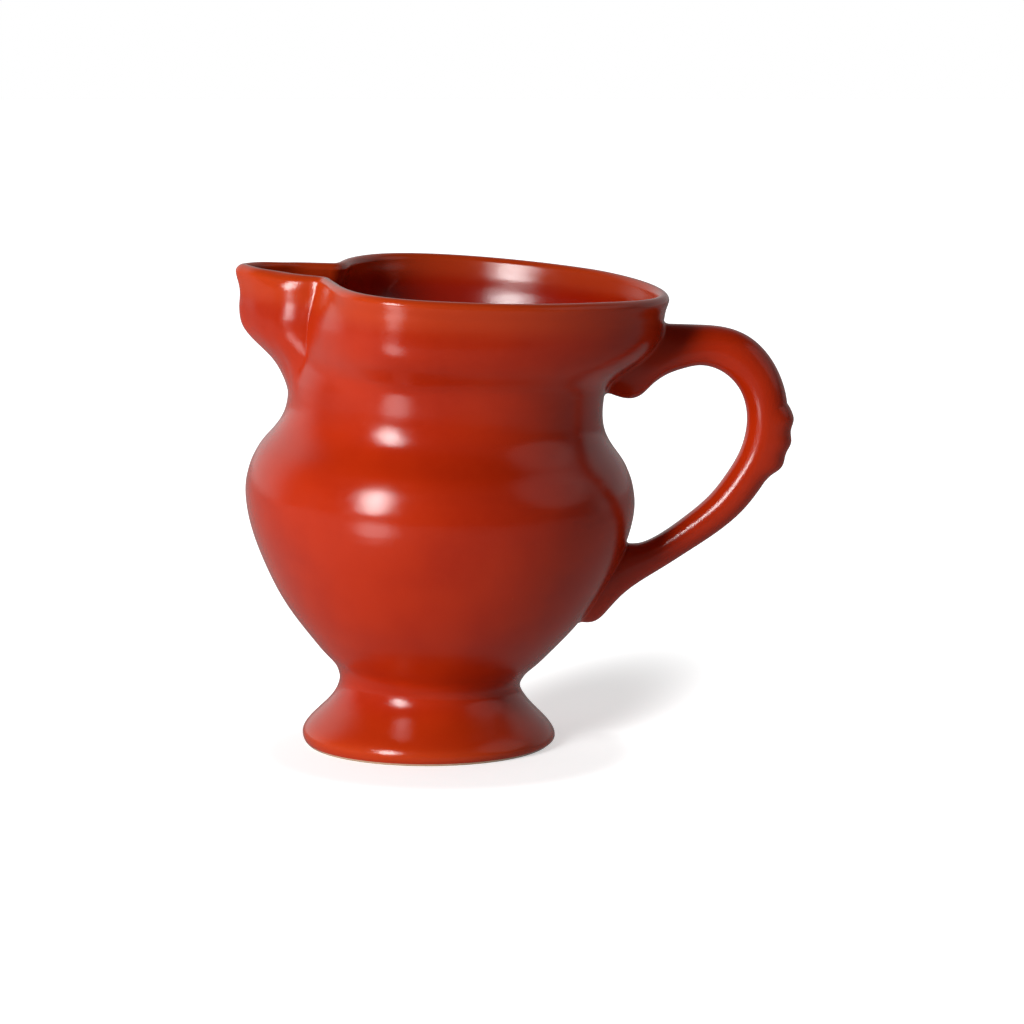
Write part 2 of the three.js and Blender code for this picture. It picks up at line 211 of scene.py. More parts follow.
for source, target in (
    (direction.outputs["Generated"], parts.inputs[0]),
    (behind, backdrop.inputs[0]),
    (overhead, backdrop.inputs[1]),
    (path.outputs["Is Glossy Ray"], indirect.inputs["Factor"]),
    (room, indirect.inputs["A"]),
    (backdrop.outputs[0], indirect.inputs["B"]),
    (path.outputs["Is Camera Ray"], level.inputs["Factor"]),
    (indirect.outputs["Result"], level.inputs["A"]),
    (level.outputs["Result"], sky.inputs["Strength"]),
    (sky.outputs[0], output.inputs["Surface"]),
):
    tree.links.new(source, target)


def soft_box(name, turn, rise, distance, wide, tall, level, mirrored=True, lights=True):
    """Oval lamp aimed at the middle of the view from turn degrees right of the lens, rise degrees up.

    Its power is level times pi times its area, so level is how bright its face is. The lens never
    sees it. It may be left out of mirrors, or give no light to matt surfaces.
    """
    lamp = bpy.data.lights.new(name, "AREA")
    lamp.shape = "ELLIPSE"
    lamp.size = wide
    lamp.size_y = tall
    lamp.energy = level * math.pi * wide * tall * math.pi / 4
    turn, rise = math.radians(turn), math.radians(rise)
    out = Vector((math.sin(turn) * math.cos(rise), -math.cos(turn) * math.cos(rise), math.sin(rise)))
    box = bpy.data.objects.new(name, lamp)
    box.location = VIEW_AIM + distance * out
    box.rotation_euler = out.to_track_quat("Z", "Y").to_euler()
    box.visible_camera = False
    box.visible_glossy = mirrored
    box.visible_diffuse = lights
    scene.collection.objects.link(box)
    return box


soft_box("key_light", KEY_TURN, rise=21.2, distance=1.0, wide=0.28, tall=0.54, level=KEY_LEVEL)
soft_box("low_card", turn=-44, rise=3, distance=0.90, wide=0.44, tall=0.14, level=LOW_LEVEL,
         mirrored=False)
soft_box("left_card", turn=-85, rise=6, distance=0.90, wide=0.60, tall=0.30, level=LEFT_LEVEL,
         mirrored=False)
soft_box("right_card", turn=81, rise=30, distance=0.90, wide=0.80, tall=0.68, level=RIGHT_LEVEL,
         lights=False)
strip = soft_box("table_strip", KEY_TURN, rise=0, distance=0.38, wide=0.11, tall=0.42,
                 level=STRIP_LEVEL, lights=False)
strip.location.z = STRIP_HEIGHT
strip.rotation_euler = (math.pi, 0, math.radians(KEY_TURN))

# The bowl
# A round belly under a flared collar, thrown in one piece in red earthenware. Its mouth is pushed
# out of round towards the spout and the handle, and it is set on the foot with a slight lean.
WAIST = 14.5
LEAN, BEND = math.radians(3.3), 8.0
FOOT_LEAN, FOOT_BEND = math.radians(1.1), 2.4
PROFILE = [(0, 29.5), (0.7, 30.25), (1.5, 30.65), (2.4, 30.72), (3.3, 30.45), (4.3, 29.85),
           (5.3, 29.05), (6.5, 27.9), (9.5, 24.9), (12, 23.0), (14, 22.1), (15.5, 22.0),
           (17, 22.5), (18.5, 23.4), (21, 25.9), (24, 28.7), (32, 35.4), (42, 41.4), (52, 45.6),
           (58, 46.95), (62, 47.1), (65, 46.6), (67, 46.05), (69, 45.2), (71.5, 43.8), (74, 41.8),
           (76.5, 40.0), (79, 38.8), (82, 38.15), (85, 38.05), (88, 38.25), (90, 38.5), (92, 39.1),
           (93.5, 40.0), (95, 41.1), (96.5, 42.2), (98, 43.1), (99.5, 43.75), (101, 44.18),
           (102.5, 44.38), (104.5, 44.44), (106.5, 44.5), (108.3, 44.65), (110, 44.92),
           (111.5, 45.35), (112.2, 45.5)]
LIP_RADIUS = 45.5
LIP_TOP = 112.2
LIP_THICKNESS = 3.2
WALL_THICKNESS = 4.3
COLLAR_MIDDLE, COLLAR_LOW = 107.0, 99.0
RIM_NEAR = [(0, 51.8), (1.7, 51.5), (3.5, 50.6), (6.5, 49.2), (9.66, 47.7), (12.3, 46.05),
            (14.6, 44.4), (16.6, 42.8), (18.3, 41.1), (19.8, 39.3), (21.0, 37.7), (22.1, 36.2),
            (23.6, 35.15), (25.9, 34.9), (29.6, 35.3), (35.5, 36.5), (41.2, 38.2), (46, 39.8),
            (50.2, 41.4), (57, 43.9), (64.7, 45.9), (76, 46.8), (92, 45.7), (101, 45.3),
            (115, 45.5), (130.5, 46.6), (147, 48.9), (164, 51.4), (180, 52.4)]
RIM_FAR = [(0, 51.8), (1.7, 51.5), (3.5, 50.7), (6.4, 49.5), (9.6, 48.2), (12.5, 46.8),
           (15.2, 45.2), (17.6, 43.4), (19.8, 41.4), (21.8, 39.4), (23.7, 37.4), (25.4, 35.8),
           (27.2, 34.6), (29.2, 33.9), (31.5, 33.9), (34.5, 34.5), (38.9, 35.8), (44.7, 37.7),
           (52.6, 40.3), (62.5, 43.4), (72.7, 45.3), (90, 45.9), (100, 45.75), (106, 45.72),
           (110.5, 45.77), (116, 45.95), (122, 46.3), (130, 47.0), (138, 48.0), (147, 49.2),
           (164, 51.5), (180, 52.4)]
FLARE_LOW, FLARE_HIGH = 82.8, 105.0
PINCH = [(84, 0), (88, 0.05), (92, 0.2), (95, 0.4), (98, 0.55), (101, 0.65), (104, 0.7),
         (108, 0.82), (112.2, 1.0)]
HANDLE_FLARE_LOW, HANDLE_FLARE_HIGH = 87.0, 106.0
SPOUT_LIFT, SPOUT_LIFT_TURN = 0.5, 25.0
HANDLE_DIP, HANDLE_DIP_TURN = 0.8, 135.0
CREASE_NEAR, CREASE_FAR, CREASE_HALF, CREASE_DEPTH = 23.9, 28.2, 1.1, 0.9
CREASE_DRIFT, CREASE_DRIFT_HALF = 0.6, 9.0
CREASE_LOW, CREASE_HIGH = 91.0, 98.0
CREASE_BASE, CREASE_TOP, CREASE_FADE = 101.0, 111.5, 0.6
BEAK_SIDE = [(84, 0), (87, 0.04), (90, 0.18), (93, 0.4), (96, 0.58), (99, 0.62), (102, 0.48),
             (105, 0.25), (107, 0.1), (109, -0.02), (110, -0.12), (111, -0.4), (112, -0.82),
             (113, -1.34), (114.5, -2.2)]
BEAK_SIDE_TURN, BEAK_SIDE_HALF = 15.5, 6.0
BEAK_TIP = [(84.5, 0), (87, 0.4), (90, 0.85), (93, 1.25), (97, 1.3), (99.5, 1.0), (101.5, 0.5),
            (104, 0.18), (108, 0.12), (110.5, 0.45), (112, 0.35), (114.5, -0.2)]
BEAK_TIP_HALF = 10.0
SEAM_HALF = 0.6
SPOUT_ROOT, ROOT_SEAM_HALF = 87.0, 0.6
TURN_SPANS = ((0, 15, 0.75), (15, 33, 0.3), (33, 60, 0.75), (60, 180.1, 1.5))


def smooth_line(stations, at):
    """Natural cubic spline through (place, size) stations, read at an array of places.

    The bends at the stations solve the usual three-band system, with none at the two ends.
    """
    place, size = np.array(stations, float).T
    step = np.diff(place)
    middle = np.arange(1, len(place) - 1)
    system = np.eye(len(place))
    system[middle, middle - 1] = step[:-1]
    system[middle, middle] = 2 * (step[:-1] + step[1:])
    system[middle, middle + 1] = step[1:]
    pull = np.zeros(len(place))
    pull[middle] = 6 * np.diff(np.diff(size) / step)
    bend = np.linalg.solve(system, pull)
    left = np.clip(np.searchsorted(place, at) - 1, 0, len(step) - 1)
    right = left + 1
    to_go = place[right] - at
    gone = at - place[left]
    width = step[left]
    curve = (bend[left] * to_go**3 + bend[right] * gone**3) / (6 * width)
    chord = (size[left] / width - bend[left] * width / 6) * to_go
    return curve + chord + (size[right] / width - bend[right] * width / 6) * gone


def ease(low, high, at):
    """Rise from 0 at low to 1 at high with no slope at either end: 3 w squared less 2 w cubed."""
    way = np.clip((at - low) / (high - low), 0, 1)
    return way * way * (3 - 2 * way)


def rim_reach(turn):
    """The rim's distance from the axis, by degrees from the spout: the near side's are below nought."""
    ring = [(-a, r) for a, r in RIM_NEAR[:0:-1]] + RIM_FAR
    before = [(a - 360, r) for a, r in RIM_FAR[-4:-1]]
    after = [(360 - a, r) for a, r in RIM_NEAR[-2:-5:-1]]
    return smooth_line(before + ring + after, turn)


def crease_turn(turn):
    """Degrees from the spout to the crease on the side that turn lies on."""
    return np.where(turn < 0, CREASE_NEAR, CREASE_FAR)


def wall_reach(turn, z):
    """The outside's distance from the axis at a turn and height.

    It is the thrown profile, moved towards the rim's outline. Where the outline is pulled out, the
    share eases in over the collar, lower down at the spout than at the handle. Where it is pinched
    in, the share follows the PINCH stations. A narrow bell-shaped groove is taken off at both sides
    of the spout, fading in from below and weaker towards the lip. Outline and groove drift a
    little towards the beak further down.
    """
    side_turn = np.abs(turn)
    beside = np.exp(-(((side_turn - crease_turn(turn)) / CREASE_DRIFT_HALF) ** 2))
    drifted = side_turn + CREASE_DRIFT * beside * ease(CREASE_TOP, CREASE_BASE, z)
    outline = rim_reach(np.sign(turn) * drifted) - LIP_RADIUS
    spout_share = ease(FLARE_LOW, FLARE_HIGH, z)
    handle_share = ease(HANDLE_FLARE_LOW, HANDLE_FLARE_HIGH, z)
    pulled = np.where(side_turn < 90, spout_share, handle_share) * np.maximum(outline, 0)
    pinched = smooth_line(PINCH, np.clip(z, PINCH[0][0], PINCH[-1][0])) * np.minimum(outline, 0)
    push = pulled + pinched
    groove = np.exp(-(((drifted - crease_turn(turn)) / CREASE_HALF) ** 2))
    faded = 1 - CREASE_FADE * ease(CREASE_BASE, CREASE_TOP, z)
    depth = CREASE_DEPTH * ease(CREASE_LOW, CREASE_HIGH, z) * faded
    return smooth_line(PROFILE, z) + push - groove * depth


def stand(x, y, z):
    """Points of a straight jug, set on the table in metres.

    The axis leans a little from the foot's edge up, bends about the waist, and leans further above
    it. A lean that eases in over a height h carries the axis along by its sine times
    h (w cubed less half w to the fourth), and by the whole height beyond.
    """
    along, up, turn = 0, z, 0
    for lean, low, height in ((FOOT_LEAN, 0, FOOT_BEND), (LEAN - FOOT_LEAN, WAIST - BEND / 2, BEND)):
        way = np.clip((z - low) / height, 0, 1)
        past = height * (way**3 - way**4 / 2) + np.maximum(z - low - height, 0)
        along = along + past * math.sin(lean)
        up = up - past * (1 - math.cos(lean))
        turn = turn + lean * ease(0, 1, way)
    along = along + x * np.cos(turn)
    up = up - x * np.sin(turn)
    return np.stack([FOOT_X + along * MM, y * MM, up * MM], axis=-1)


half_turn = np.concatenate([np.arange(*span) for span in TURN_SPANS])
TURNS = np.concatenate([-half_turn[:0:-1], half_turn[:-1]])
RAYS = np.radians(TURNS)


def turned_rows(z_shape, inset, z_real):
    """Rows of the wall: the outside at heights z_shape, moved inset along its plan normal.

    Each row is the curve x = -reach cos, y = reach sin round the axis, set at height z_real, a
    little higher at the spout and lower at the handle. The beak's two sides and its tip are fuller
    below the lip and roll in over it, each by a bell in the turn.
    """
    reach = wall_reach(TURNS[None, :], z_shape[:, None])
    x, y = -reach * np.cos(RAYS), reach * np.sin(RAYS)
    along_x = np.roll(x, -1, 1) - np.roll(x, 1, 1)
    along_y = np.roll(y, -1, 1) - np.roll(y, 1, 1)
    length = np.hypot(along_x, along_y)
    fullness = smooth_line(BEAK_SIDE, np.clip(z_real, BEAK_SIDE[0][0], BEAK_SIDE[-1][0]))[:, None]
    at_side = np.exp(-(((np.abs(TURNS) - BEAK_SIDE_TURN) / BEAK_SIDE_HALF) ** 2))
    tip = smooth_line(BEAK_TIP, np.clip(z_real, BEAK_TIP[0][0], BEAK_TIP[-1][0]))[:, None]
    at_tip = np.exp(-((TURNS / BEAK_TIP_HALF) ** 2))
    inward = inset[:, None] - fullness * at_side - tip * at_tip
    x = x + inward * along_y / length
    y = y - inward * along_x / length
    lift = SPOUT_LIFT * ease(SPOUT_LIFT_TURN, 0, np.abs(TURNS))
    lift = lift - HANDLE_DIP * ease(HANDLE_DIP_TURN, 180, np.abs(TURNS))
    return stand(x, y, z_real[:, None] + lift * ease(FLARE_LOW, FLARE_HIGH, z_shape)[:, None])


def grid_normals(points):
    """Unit normals of a grid of points whose columns close round: row step crossed with column step."""
    across = np.roll(points, -1, 1) - np.roll(points, 1, 1)
    normals = np.cross(np.gradient(points, axis=0), across)
    return normals / np.maximum(np.linalg.norm(normals, axis=-1, keepdims=True), 1e-12)


def grid_quads(rows, columns, wrap_rows=False):
    """Corner numbers of the cells of a grid whose columns close round, one row of four a cell."""
    i, j = np.meshgrid(np.arange(rows if wrap_rows else rows - 1), np.arange(columns), indexing="ij")
    up, on = (i + 1) % rows, (j + 1) % columns
    cells = [i * columns + j, up * columns + j, up * columns + on, i * columns + on]
    return np.stack(cells, axis=-1)


def make_piece(name, points, quads, normals, caps, thin_and_shade):
    """A smooth closed piece from points, four-cornered faces with a normal a corner, and flat caps.

    Points that no face uses are dropped. Caps are rings of point numbers, shaded flat. The last
    argument says how thin the glaze lies at each point; below nought it is painted shade, a deeper red.
    """
    used, packed = np.unique(quads, return_inverse=True)
    number = np.zeros(len(points), int)
    number[used] = np.arange(len(used))
    packed = packed.reshape(-1, 4)
    rings = [number[np.array(ring)] for ring in caps]
    mesh = bpy.data.meshes.new(name)
    mesh.from_pydata(points[used].tolist(), [], packed.tolist() + [ring.tolist() for ring in rings])
    mesh.polygons.foreach_set("use_smooth", np.ones(len(mesh.polygons), bool))
    flat = [np.repeat([tuple(mesh.polygons[len(packed) + k].normal)], len(ring), 0)
            for k, ring in enumerate(rings)]
    corners = np.concatenate([normals.reshape(-1, 3)] + flat)
    mesh.normals_split_custom_set(corners.tolist())
    layer = mesh.attributes.new("thin_glaze_and_shade", "FLOAT", "POINT")
    layer.data.foreach_set("value", thin_and_shade[used].astype(np.float32))
    piece = bpy.data.objects.new(name, mesh)
    scene.collection.objects.link(piece)
    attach(piece, "root")
    return piece


# Rows of the bowl from the waist up the outside, over the lip, and down the inside to the floor.
WAIST_SEAM_HALF = 0.5
BELLY_LOW, COLLAR_HIGH, INNER_FLOOR = 24.0, 106.0, 27.0
WAIST_ROWS, BELLY_ROWS, COLLAR_ROWS, RIM_ROWS, INNER_ROWS = 24, 64, 30, 14, 44
SEAM_ROWS, LIP_STEPS, FLOOR_STEPS = 4, 14, 16
root_low, root_high = SPOUT_ROOT - ROOT_SEAM_HALF, SPOUT_ROOT + ROOT_SEAM_HALF
low_z = np.concatenate([np.linspace(WAIST + WAIST_SEAM_HALF, BELLY_LOW, WAIST_ROWS)[:-1],
                        np.linspace(BELLY_LOW, root_low, BELLY_ROWS)[:-1]])
seam_z = np.linspace(root_low, root_high, SEAM_ROWS)[:-1]
high_z = np.concatenate([np.linspace(root_high, COLLAR_HIGH, COLLAR_ROWS)[:-1],
                         np.linspace(COLLAR_HIGH, LIP_TOP, RIM_ROWS)])
lip_angle = (np.arange(LIP_STEPS) + 0.5) / LIP_STEPS * math.pi
lip_half = LIP_THICKNESS / 2
side_z = np.concatenate([seam_z, high_z])
inner_low_z = np.linspace(root_low, INNER_FLOOR, INNER_ROWS)[1:]


def inner_inset(z):
    """Thickness of the wall: the lip's down to the collar's middle, easing to the full wall below."""
    return LIP_THICKNESS + (WALL_THICKNESS - LIP_THICKNESS) * ease(COLLAR_MIDDLE, COLLAR_LOW, z)


z_shape = np.concatenate([low_z, side_z, np.full(LIP_STEPS, LIP_TOP), side_z[::-1], inner_low_z])
inset = np.concatenate([np.zeros(len(low_z) + len(side_z)), lip_half * (1 - np.cos(lip_angle)),
                        inner_inset(side_z[::-1]), inner_inset(inner_low_z)])
z_real = np.concatenate([low_z, side_z, LIP_TOP + lip_half * np.sin(lip_angle), side_z[::-1],
                         inner_low_z])
body = turned_rows(z_shape, inset, z_real)

# The floor inside: the last row drawn in to the axis, sinking as a flattened quarter round.
FLOOR_SINK, FLOOR_POWER, FLOOR_EYE = 7.0, 2.6, 0.004
draw_in = np.linspace(1, 0, FLOOR_STEPS + 1)[1:]
draw_in[-1] = FLOOR_EYE
hub = stand(np.zeros(1), np.zeros(1), np.full(1, INNER_FLOOR - FLOOR_SINK))[0]
edge = body[-1]
sink = np.sqrt(1 - draw_in**FLOOR_POWER)[:, None, None]
plan = hub + (edge - hub) * draw_in[:, None, None]
level = edge + (hub - edge) * sink
floor = np.concatenate([plan[..., :2], level[..., 2:]], axis=-1)
body = np.concatenate([body, floor])

body_normals = grid_normals(body)
BODY_ROWS, BODY_COLUMNS = body.shape[:2]
body_quads = grid_quads(BODY_ROWS, BODY_COLUMNS)
first_side = len(low_z)
last_side = first_side + 2 * len(side_z) + LIP_STEPS - 1

cell_row = np.arange(BODY_ROWS - 1)[:, None]
cell_turn = (TURNS + np.roll(TURNS, -1)) / 2
cell_turn[-1] = 180
from_crease = np.abs(cell_turn) - crease_turn(cell_turn)
beside_seam = (from_crease < SEAM_HALF)[None, :]
inside_seam = (from_crease < -SEAM_HALF)[None, :]
above_seam = (cell_row >= first_side) & (cell_row < last_side)
in_spout_rows = (cell_row >= first_side + len(seam_z)) & (cell_row < last_side - len(seam_z))
in_sector = beside_seam & above_seam
in_spout = inside_seam & in_spout_rows

# How thin the glaze lies: it runs off the upper collar and the lip. Towards the handle that orange is
# weaker, painted shade on the side turned from the key, and below the inner lip the inside is painted a
# deeper red as shade.
COLLAR_THIN, COLLAR_THIN_LOW, COLLAR_THIN_HIGH = 0.7, 104, 109.5
LIP_THIN, LIP_THIN_DEPTH = 0.3, 1.5
INSIDE_SHADE_LEVEL, INSIDE_SHADE_FULL_BELOW, INSIDE_SHADE_GONE_ABOVE = -0.9, 105, 111
SHADE_AWAY_DIM, SHADE_AWAY_FROM, SHADE_AWAY_TO = 0.7, 110, 160
outer_thin = COLLAR_THIN * ease(COLLAR_THIN_LOW, COLLAR_THIN_HIGH, z_real)
outer_thin = outer_thin + LIP_THIN * ease(LIP_TOP - LIP_THIN_DEPTH, LIP_TOP + lip_half, z_real)
inner_thin_and_shade = INSIDE_SHADE_LEVEL + (outer_thin - INSIDE_SHADE_LEVEL) * ease(INSIDE_SHADE_FULL_BELOW, INSIDE_SHADE_GONE_ABOVE, z_real)
inner_rows = np.arange(len(z_real)) > first_side + len(side_z) + LIP_STEPS // 2
# Painted shade: the collar's orange is weaker on the handle side, which is turned from the key.
shade_away_factor = 1 - SHADE_AWAY_DIM * ease(SHADE_AWAY_FROM, SHADE_AWAY_TO, np.abs(TURNS))
body_thin_and_shade = np.full(body.shape[:2], INSIDE_SHADE_LEVEL)
body_thin_and_shade[:len(z_real)] = np.where(inner_rows[:, None], inner_thin_and_shade[:, None],
                                   outer_thin[:, None] * shade_away_factor)
body_thin_and_shade = body_thin_and_shade.reshape(-1)


def cut_from_wall(name, cells, caps=()):
    """The part of the wall in the marked cells, closed where it is cut from its neighbours.

    A cut joins each outer edge point to the point of the same height on the inside of the wall,
    whose row number is first_side plus last_side less the outer row's.
    """
    quads = body_quads[cells]
    normals = body_normals.reshape(-1, 3)[quads]
    half_rows = np.arange(first_side, (first_side + last_side) // 2)
    point = np.arange(BODY_ROWS)[:, None] * BODY_COLUMNS + np.arange(BODY_COLUMNS)[None, :]
    twin = point[(first_side + last_side - np.arange(BODY_ROWS)) % BODY_ROWS]
    on = np.roll(np.arange(BODY_COLUMNS), -1)
    here = cells[half_rows]
    right = here & ~np.roll(here, -1, 1)
    left = here & ~np.roll(here, 1, 1)
    upper, lower = half_rows + 1, half_rows
    edge_on = np.stack([point[lower][:, on], point[upper][:, on],
                        twin[upper][:, on], twin[lower][:, on]], -1)
    edge_off = np.stack([twin[lower], twin[upper], point[upper], point[lower]], -1)
    under = here & ~cells[half_rows - 1]
    over = ~here & cells[half_rows - 1]
    flat_down = np.stack([point[lower], point[lower][:, on], twin[lower][:, on], twin[lower]], -1)
    cuts = np.concatenate([edge_on[right], edge_off[left], flat_down[under], flat_down[over][:, ::-1]])
    spots = body.reshape(-1, 3)[cuts]
    facing = np.cross(spots[:, 2] - spots[:, 0], spots[:, 3] - spots[:, 1])
    facing /= np.linalg.norm(facing, axis=-1, keepdims=True)
    normals = np.concatenate([normals, np.repeat(facing[:, None], 4, 1)])
    faces = np.concatenate([quads, cuts])
    return make_piece(name, body.reshape(-1, 3), faces, normals, caps, body_thin_and_shade)


bowl_base = np.arange(BODY_COLUMNS)
bowl_hub = np.arange(BODY_COLUMNS)[::-1] + (BODY_ROWS - 1) * BODY_COLUMNS
bowl = cut_from_wall("thrown_bowl", ~in_sector, [bowl_base, bowl_hub])
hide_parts("bowl")

# The glaze: iron red over red clay, satin, with fine grain, mottling, and a warmer tone where the
# coat is thin over an edge. One group makes its colour, roughness and grain for all the pieces.
DEEP_RED = (0.39, 0.0180, 0.0018, 1)
CLEAR_RED = (0.45, 0.0235, 0.0023, 1)
THIN_ORANGE = (0.50, 0.042, 0.005, 1)
# A deeper red, painted as shade inside the jug.
INSIDE_SHADE_RED = (0.40, 0.0105, 0.0012, 1)
FLECK_TAN = (0.46, 0.09, 0.03, 1)
COAT_ROUGHNESS, ROUGHNESS_SPAN = (0.14, 0.17), (0.3, 0.7)
GRAIN_SIZE, GRAIN_HEIGHT = 0.3, 0.027
MOTTLE_SIZE, MOTTLE_SPAN, MOTTLE_SHARE = 2.2, (0.45, 0.75), 0.15
PATCH_SIZE, PATCH_SPAN = 26.0, (0.35, 0.65)
FLECK_SPACING, FLECK_SPAN, FLECK_SHARE = 12.0, (0.010, 0.028), 0.6
RING_SPACING, RING_WOBBLE, THROWN_RINGS = 2.6, 3.0, 0.3
WAVE_RATE = 20  # radians that a wave of scale 1 turns over one unit
GLAZE_IOR = 1.5
MIX_FIRST, MIX_SECOND, MIX_RESULT = 6, 7, 2

glaze_coat = bpy.data.node_groups.new("glaze_coat", "ShaderNodeTree")
for socket in ("Thin and shade", "Rings"):
    glaze_coat.interface.new_socket(socket, in_out="INPUT", socket_type="NodeSocketFloat")
for socket, kind in (("Color", "NodeSocketColor"), ("Roughness", "NodeSocketFloat"),
                     ("Height", "NodeSocketFloat")):
    glaze_coat.interface.new_socket(socket, in_out="OUTPUT", socket_type=kind)
inside = add_node(glaze_coat, "NodeGroupInput", (-1200, 0))
outside = add_node(glaze_coat, "NodeGroupOutput", (900, 0))
spot = add_node(glaze_coat, "ShaderNodeTexCoord", (-1200, 300))


def noise_of(size_mm, detail, place):
    """A noise on Object coordinates whose lumps are about size_mm across."""
    noise = add_node(glaze_coat, "ShaderNodeTexNoise", place)
    noise.inputs["Scale"].default_value = 1 / (size_mm * MM)
    noise.inputs["Detail"].default_value = detail
    glaze_coat.links.new(spot.outputs["Object"], noise.inputs["Vector"])
    return noise.outputs["Fac"]


def mix_colours(factor, first, second, place):
    """Mix of two colours, each a socket or a fixed colour, by a factor socket.

    A mix node's colour sockets share their names with others, so they are found by number.
    """
    mix = add_node(glaze_coat, "ShaderNodeMix", place, data_type="RGBA")
    glaze_coat.links.new(factor, mix.inputs["Factor"])
    for value, socket in ((first, mix.inputs[MIX_FIRST]), (second, mix.inputs[MIX_SECOND])):
        if isinstance(value, tuple):
            socket.default_value = value
        else:
            glaze_coat.links.new(value, socket)
    return mix.outputs[MIX_RESULT]


grain = noise_of(GRAIN_SIZE, detail=1.0, place=(-900, -300))
mottle = noise_of(MOTTLE_SIZE, detail=3.0, place=(-900, 0))
patch = noise_of(PATCH_SIZE, detail=2.0, place=(-900, 300))
patch_mask = smooth_range(glaze_coat, patch, PATCH_SPAN, (0, 1), (-700, 300))
tone = mix_colours(patch_mask, DEEP_RED, CLEAR_RED, (-400, 300))
mottle_mask = smooth_range(glaze_coat, mottle, MOTTLE_SPAN, (0, MOTTLE_SHARE), (-700, 0))
cloud = mix_colours(mottle_mask, tone, CLEAR_RED, (-200, 300))
# Painted shade: below nought the thin input mixes in a deeper red inside the jug.
shade_share = add_node(glaze_coat, "ShaderNodeMath", (-400, 0), operation="MULTIPLY")
shade_share.inputs[1].default_value = -1.0
glaze_coat.links.new(inside.outputs["Thin and shade"], shade_share.inputs[0])
shaded_red = mix_colours(shade_share.outputs[0], cloud, INSIDE_SHADE_RED, (-100, 500))
edge_tone = mix_colours(inside.outputs["Thin and shade"], shaded_red, THIN_ORANGE, (0, 300))
fleck = add_node(glaze_coat, "ShaderNodeTexVoronoi", (-900, 600))
fleck.inputs["Scale"].default_value = 1 / (FLECK_SPACING * MM)
glaze_coat.links.new(spot.outputs["Object"], fleck.inputs["Vector"])
fleck_mask = smooth_range(glaze_coat, fleck.outputs["Distance"], FLECK_SPAN,
                          (FLECK_SHARE, 0), (-600, 600))
surface_colour = mix_colours(fleck_mask, edge_tone, FLECK_TAN, (300, 300))
glaze_coat.links.new(surface_colour, outside.inputs["Color"])
gloss = smooth_range(glaze_coat, mottle, ROUGHNESS_SPAN, COAT_ROUGHNESS, (0, 0))
glaze_coat.links.new(gloss, outside.inputs["Roughness"])
ring_wave = add_node(glaze_coat, "ShaderNodeTexWave", (-900, -600), wave_type="BANDS",
                     bands_direction="Z")
ring_wave.inputs["Scale"].default_value = 2 * math.pi / (WAVE_RATE * RING_SPACING * MM)
ring_wave.inputs["Distortion"].default_value = RING_WOBBLE
glaze_coat.links.new(spot.outputs["Object"], ring_wave.inputs["Vector"])
ring_height = add_node(glaze_coat, "ShaderNodeMath", (-600, -600), operation="MULTIPLY")
glaze_coat.links.new(ring_wave.outputs["Fac"], ring_height.inputs[0])
glaze_coat.links.new(inside.outputs["Rings"], ring_height.inputs[1])
height = add_node(glaze_coat, "ShaderNodeMath", (-200, -300), operation="ADD")
glaze_coat.links.new(grain, height.inputs[0])
glaze_coat.links.new(ring_height.outputs[0], height.inputs[1])
glaze_coat.links.new(height.outputs[0], outside.inputs["Height"])


def glazed(name, rings):
    """Glaze material: the coat's colour and roughness on a glossy shader, its grain as a fine bump.

    Rings is how high the throwing rings stand against the grain. Gives back its tree and shader too.
    """
    material, tree, output = empty_material(name)
    thin_and_shade = add_node(tree, "ShaderNodeAttribute", (-700, 0), attribute_name="thin_glaze_and_shade")
    coat = add_node(tree, "ShaderNodeGroup", (-400, 0), node_tree=glaze_coat)
    coat.inputs["Rings"].default_value = rings
    bump = add_node(tree, "ShaderNodeBump", (-100, -200))
    bump.inputs["Strength"].default_value = 1.0
    bump.inputs["Distance"].default_value = GRAIN_HEIGHT * MM
    shader = add_node(tree, "ShaderNodeBsdfPrincipled", (200, 0))
    shader.inputs["IOR"].default_value = GLAZE_IOR
    tree.links.new(thin_and_shade.outputs["Fac"], coat.inputs["Thin and shade"])
    tree.links.new(coat.outputs["Color"], shader.inputs["Base Color"])
    tree.links.new(coat.outputs["Roughness"], shader.inputs["Roughness"])
    tree.links.new(coat.outputs["Height"], bump.inputs["Height"])
    tree.links.new(bump.outputs["Normal"], shader.inputs["Normal"])
    tree.links.new(shader.outputs["BSDF"], output.inputs["Surface"])
    return material, tree, shader


thrown_glaze = glazed("thrown_glaze", THROWN_RINGS)[0]
bowl.data.materials.append(thrown_glaze)

# The spout
# A beak of the same clay, shaped by itself with a wet finger and then luted into a notch that is
# cut in the collar. Its wall runs on from the bowl's.
spout = cut_from_wall("pulled_spout", in_spout)
spout.data.materials.append(thrown_glaze)
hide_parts("spout")

# The spout's joint
# A bead of slip round the beak's three cut edges, fired hard with the clay. The glaze covers it,
# and it shows as a crease down both sides of the beak.
spout_joint = cut_from_wall("spout_slip", in_sector & ~in_spout)
spout_joint.data.materials.append(thrown_glaze)
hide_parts("spout_slip_joint")

